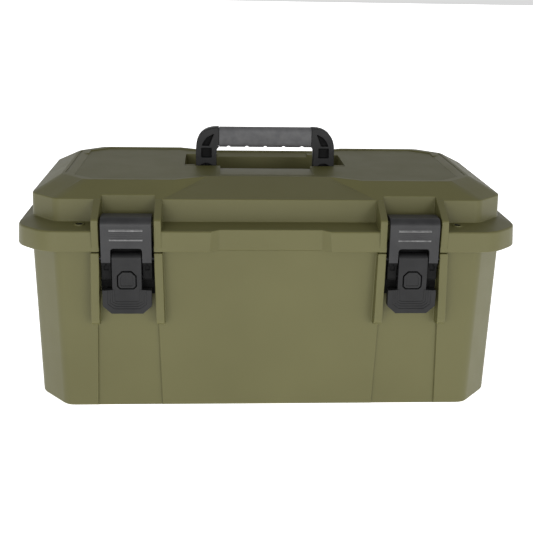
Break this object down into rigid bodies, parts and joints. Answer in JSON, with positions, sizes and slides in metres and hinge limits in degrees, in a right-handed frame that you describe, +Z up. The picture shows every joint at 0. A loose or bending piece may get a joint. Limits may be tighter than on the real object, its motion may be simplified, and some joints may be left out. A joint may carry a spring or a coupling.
{
  "type": "latched carry box",
  "caption": "Moulded storage box with a hinged lid, over-centre latches with push buttons, and a carry handle that folds into the lid.",
  "frame": {"origin": "centre of the tub's underside, on the surface the box stands on", "axes": "+X along the box's length to the viewer's right, +Y to the hinged back, +Z up; the latches face -Y"},
  "size_m": [0.5004, 0.3146, 0.2665],
  "materials": {
    "olive_plastic": "satin, fine moulded grain",
    "black_plastic": "satin",
    "grip_rubber": "soft matt",
    "gasket_rubber": "soft matt",
    "steel": "plain"
  },
  "bodies": {
    "tub": {"tub_shell": "olive_plastic", "hinge_pin_left": "steel", "hinge_pin_right": "steel", "lever_pin_left": "steel", "lever_pin_right": "steel", "latch_base_left": "black_plastic", "latch_base_right": "black_plastic"},
    "lid": {"lid_shell": "olive_plastic", "lid_gasket": "gasket_rubber", "handle_pin_left": "steel", "handle_pin_right": "steel"},
    "handle": {"handle_frame": "black_plastic", "handle_grip": "grip_rubber"},
    "lever_left": {"latch_lever_left": "black_plastic", "claw_pin_left": "steel", "button_spring_left": "steel"},
    "lever_right": {"latch_lever_right": "black_plastic", "claw_pin_right": "steel", "button_spring_right": "steel"},
    "claw_left": {"latch_claw_left": "black_plastic"},
    "claw_right": {"latch_claw_right": "black_plastic"},
    "button_left": {"latch_button_left": "black_plastic"},
    "button_right": {"latch_button_right": "black_plastic"}
  },
  "joints": [
    {"name": "lid_hinge", "type": "hinge", "parent": "tub", "child": "lid", "pos_m": [0, 0.155, 0.172], "axis": [-1, 0, 0], "range_deg": [0, 100]},
    {"name": "handle_fold", "type": "hinge", "parent": "lid", "child": "handle", "pos_m": [0, 0, 0.219], "axis": [-1, 0, 0], "range_deg": [0, 90]},
    {"name": "lever_swing_left", "type": "hinge", "parent": "tub", "child": "lever_left", "pos_m": [-0.14, -0.144, 0.1605], "axis": [-1, 0, 0], "range_deg": [0, 100]},
    {"name": "lever_swing_right", "type": "hinge", "parent": "tub", "child": "lever_right", "pos_m": [0.14, -0.144, 0.1605], "axis": [-1, 0, 0], "range_deg": [0, 100]},
    {"name": "claw_swing_left", "type": "hinge", "parent": "lever_left", "child": "claw_left", "pos_m": [-0.14, -0.142, 0.142], "axis": [-1, 0, 0], "range_deg": [-100, 0]},
    {"name": "claw_swing_right", "type": "hinge", "parent": "lever_right", "child": "claw_right", "pos_m": [0.14, -0.142, 0.142], "axis": [-1, 0, 0], "range_deg": [-100, 0]},
    {"name": "button_press_left", "type": "slide", "parent": "lever_left", "child": "button_left", "axis": [0, 1, 0], "range_m": [0, 0.0012], "stiffness_N_per_m": 300, "springref_m": -0.001},
    {"name": "button_press_right", "type": "slide", "parent": "lever_right", "child": "button_right", "axis": [0, 1, 0], "range_m": [0, 0.0012], "stiffness_N_per_m": 300, "springref_m": -0.001}
  ],
  "couplings": [
    {"joint": "claw_swing_left", "follows": "lever_swing_left", "ratio": -1},
    {"joint": "claw_swing_right", "follows": "lever_swing_right", "ratio": -1}
  ]
}
